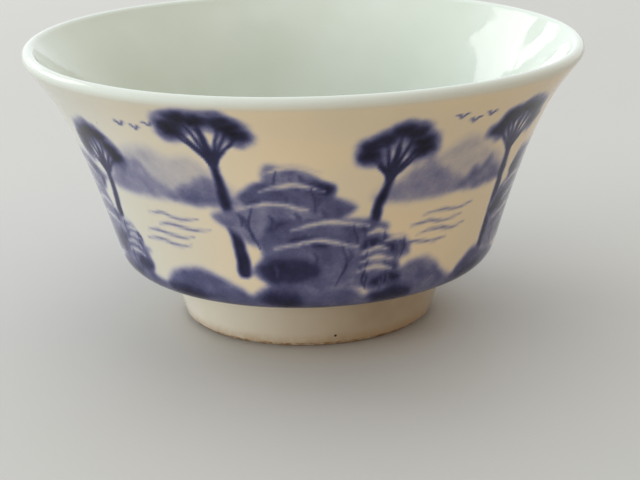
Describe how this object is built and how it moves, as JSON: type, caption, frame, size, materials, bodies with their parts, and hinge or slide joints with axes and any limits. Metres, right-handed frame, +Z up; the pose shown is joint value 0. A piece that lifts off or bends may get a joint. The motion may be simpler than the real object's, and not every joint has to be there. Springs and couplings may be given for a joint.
{
  "type": "porcelain teacup",
  "caption": "Small handleless porcelain teacup with a flared rounded lip on a turned foot ring, painted blue under a clear glaze.",
  "frame": {"origin": "centre of the circle that the foot ring stands on, at table height", "axes": "+Z up along the cup's axis of rotation; -Y is the side with the main painting"},
  "size_m": [0.08, 0.08, 0.0405],
  "materials": {
    "porcelain": "fired clay under the glaze",
    "bare_porcelain": "bare fired clay, rough, rusty brown",
    "cobalt": "cobalt pigment under the glaze",
    "painted_glaze": "glossy, blue painting on warm white",
    "inside_glaze": "glossy, pale grey green",
    "lip_glaze": "glossy, white",
    "foot_glaze": "glossy, creamy white"
  },
  "bodies": {
    "root": {"bowl": "porcelain", "foot_ring": "bare_porcelain", "cobalt_painting": "cobalt", "outside_glaze": "painted_glaze", "inside_glaze": "inside_glaze", "lip_glaze": "lip_glaze", "foot_glaze": "foot_glaze", "base_glaze": "foot_glaze"}
  },
  "joints": []
}
